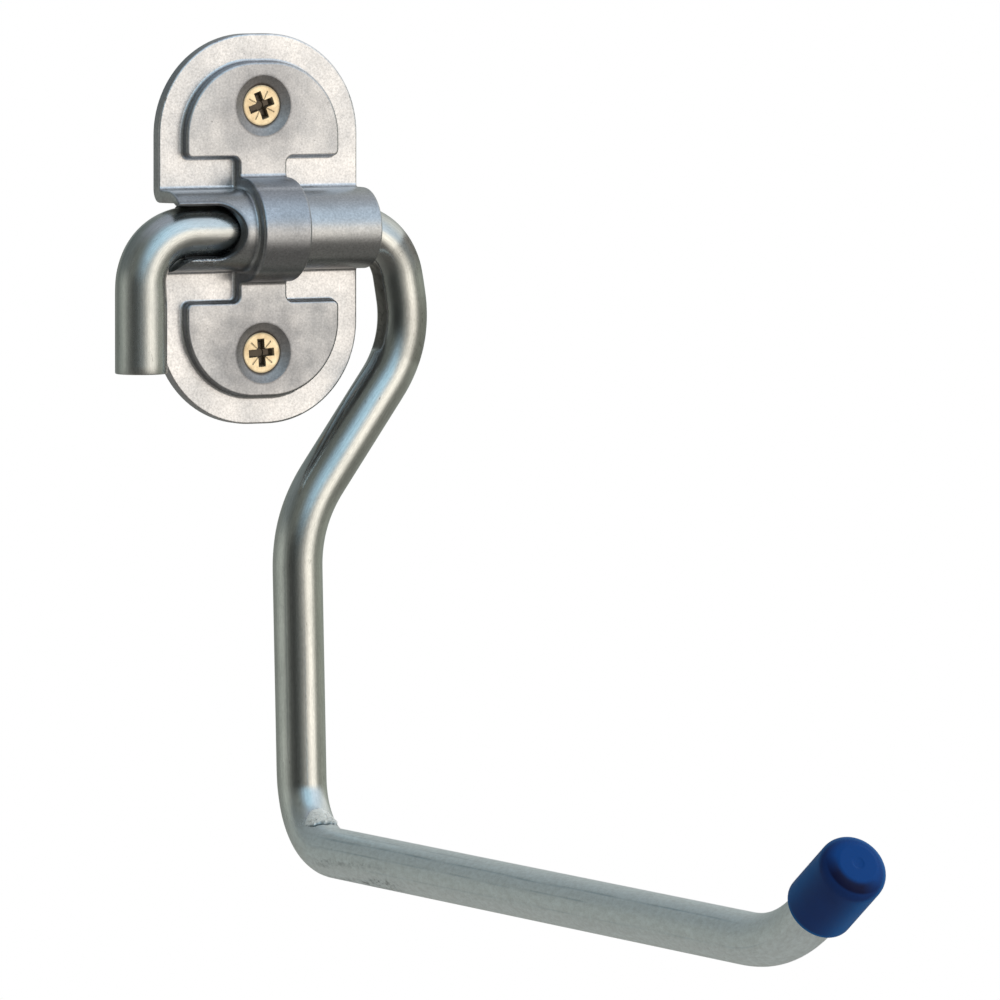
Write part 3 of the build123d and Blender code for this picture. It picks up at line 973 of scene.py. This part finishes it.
def studio_floor():
    """Flat pale sheet below the object. It shows as white, with the object's soft shadow."""
    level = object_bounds()[0].z - floor_drop
    corners = [(x * floor_half, y * floor_half, 0) for x, y in ((-1, -1), (1, -1), (1, 1), (-1, 1))]
    mesh = bpy.data.meshes.new("floor")
    mesh.from_pydata(corners, [], [(0, 1, 2, 3)])
    floor = bpy.data.objects.new("floor", mesh)
    floor.location = (0, floor_middle, level)
    bpy.context.scene.collection.objects.link(floor)
    floor.visible_glossy = False
    material, tree, surface = new_material("pale_floor", Base_Color=(0.86, 0.86, 0.85, 1), Roughness=0.9)
    glow = step(tree, "Emission", "white surround", Strength=1.0)
    place = tree.nodes.new("ShaderNodeTexCoord").outputs["Object"]
    away = vectors(tree, "distance out", "LENGTH", place)
    whiter = fade(tree, "white far out", away, (0.45, 0.75), 0.55, smooth=True)
    amount = product(tree, "share of white", seen_straight(tree), whiter)
    sheet = step(tree, "MixShader", "pale or white", amount, surface.outputs["BSDF"], glow)
    fill(tree, tree.nodes["Material Output"].inputs["Surface"], sheet)
    mesh.materials.append(material)


def azimuth_ramp(tree, label, around, stops):
    """Colours round the room. Stops are (degrees from straight ahead, towards +X, colour).

    A ramp holds nothing brighter than 1, so it is filled in shares of the room's peak.
    """
    node = add_node(tree, "ValToRGB", label, around)
    ramp = node.color_ramp
    ramp.interpolation = "B_SPLINE"
    while len(ramp.elements) < len(stops):
        ramp.elements.new(0.5)
    for element, (degrees, color) in zip(ramp.elements, stops):
        element.position = (degrees + 180) / 360
        element.color = (*[share / room_peak for share in color], 1)
    return node.outputs["Color"]


def studio_world():
    """White to the camera. For light and reflections, a soft room given by the direction looked in."""
    world = bpy.data.worlds.new("studio")
    world.use_nodes = True
    bpy.context.scene.world = world
    tree = world.node_tree
    tree.nodes.clear()
    direction = tree.nodes.new("ShaderNodeTexCoord").outputs["Generated"]
    right, back, height = add_node(tree, "SeparateXYZ", "direction", direction).outputs
    ahead = maths(tree, "towards the front", "MULTIPLY", back, -1.0)
    angle = maths(tree, "angle round", "ARCTAN2", right, ahead)
    around = fade(tree, "turn", angle, (-np.pi, np.pi))

    walls = azimuth_ramp(tree, "walls", around, [
        (-180, (0.25, 0.27, 0.25)), (-150, (0.29, 0.31, 0.29)), (-126, (0.50, 0.54, 0.50)),
        (-104, (0.58, 0.61, 0.57)), (-80, (0.16, 0.17, 0.16)), (-54, (0.035, 0.035, 0.035)),
        (-30, (0.10, 0.11, 0.105)), (-10, (0.34, 0.34, 0.32)), (5, (0.80, 0.76, 0.70)),
        (19, (1.62, 1.52, 1.38)), (33, (1.84, 1.74, 1.60)), (46, (0.90, 0.87, 0.79)),
        (60, (0.22, 0.23, 0.20)), (88, (0.44, 0.46, 0.40)), (125, (0.34, 0.37, 0.33)),
        (180, (0.25, 0.27, 0.25)),
    ])
    sky = azimuth_ramp(tree, "sky", around, [
        (-180, (0.24, 0.28, 0.28)), (-130, (0.24, 0.27, 0.28)), (-100, (0.12, 0.14, 0.14)),
        (-66, (0.20, 0.21, 0.19)), (-44, (0.22, 0.25, 0.24)), (-27, (0.42, 0.58, 0.72)),
        (-10, (0.66, 1.00, 1.24)), (8, (0.74, 1.04, 1.28)), (32, (1.04, 1.20, 1.40)),
        (60, (0.70, 0.82, 0.94)), (90, (1.00, 1.02, 1.00)), (122, (0.66, 0.68, 0.66)),
        (180, (0.24, 0.28, 0.28)),
    ])
    ground = azimuth_ramp(tree, "ground", around, [
        (-180, (0.38, 0.38, 0.35)), (-110, (0.30, 0.30, 0.28)), (-40, (0.10, 0.095, 0.09)),
        (30, (0.19, 0.18, 0.17)), (90, (0.19, 0.19, 0.17)), (180, (0.38, 0.38, 0.35)),
    ])
    color = walls
    for label, ends, tone in (
        ("sky above", (0.03, 0.37), sky),
        ("ground below", (-0.05, -0.60), ground),
        ("dim overhead", (0.72, 1.0), (0.16, 0.176, 0.208)),
    ):
        mask = fade(tree, label + " starts", height, ends, smooth=True)
        color = mixed(tree, label, mask, color, tone)

    room = step(tree, "Background", "room", Color=color, Strength=room_peak)
    white = step(tree, "Background", "white surround", Color=(1, 1, 1, 1), Strength=1.0)
    surround = step(tree, "MixShader", "room or white", seen_straight(tree), room, white)
    fill(tree, tree.nodes.new("ShaderNodeOutputWorld").inputs["Surface"], surround)


def soft_lamp(name, place, aim, size, power, color):
    """A square soft box that lights from a place towards a point."""
    lamp = bpy.data.lights.new(name, "AREA")
    lamp.size = size
    lamp.energy = power
    lamp.color = color
    holder = bpy.data.objects.new(name, lamp)
    bpy.context.scene.collection.objects.link(holder)
    holder.location = place
    holder.rotation_euler = (Vector(aim) - Vector(place)).to_track_quat("-Z", "Y").to_euler()
    holder.visible_glossy = False


studio_floor()
studio_world()
soft_lamp("key_box", (0.75, -1.30, 1.05), (0, -0.08, -0.05), 0.8, 5.0, (1.0, 0.97, 0.92))


# Camera: long lens, a little above the bracket and to its left, framed as the photograph is.
# It looks at a point to the right of the bracket's middle and below it.

camera_turn = np.radians(-26.29)
camera_rise = np.radians(2.595)
camera_roll = np.radians(0.097)
camera_distance = 2.1059
lens_pixels = 10550.0
picture_pixels = 1000.0
aim_right = 0.04935
aim_down = 0.05419


def studio_camera():
    """Camera on a sphere round the bracket's middle, turned to a point right of it and below it."""
    back = Vector((
        np.sin(camera_turn) * np.cos(camera_rise),
        -np.cos(camera_turn) * np.cos(camera_rise),
        np.sin(camera_rise),
    ))
    right = Vector((np.cos(camera_turn), np.sin(camera_turn), 0))
    up = back.cross(right)
    aim = right * aim_right - up * aim_down
    camera = bpy.data.cameras.new("camera")
    camera.sensor_width = 36.0
    camera.lens = camera.sensor_width * lens_pixels / picture_pixels
    camera.clip_end = 50.0
    holder = bpy.data.objects.new("camera", camera)
    bpy.context.scene.collection.objects.link(holder)
    holder.location = back * camera_distance
    holder.rotation_mode = "QUATERNION"
    turned = (aim - holder.location).to_track_quat("-Z", "Y")
    holder.rotation_quaternion = turned @ Quaternion((0, 0, 1), camera_roll)
    bpy.context.scene.camera = holder


studio_camera()
bpy.context.scene.view_settings.view_transform = "Standard"
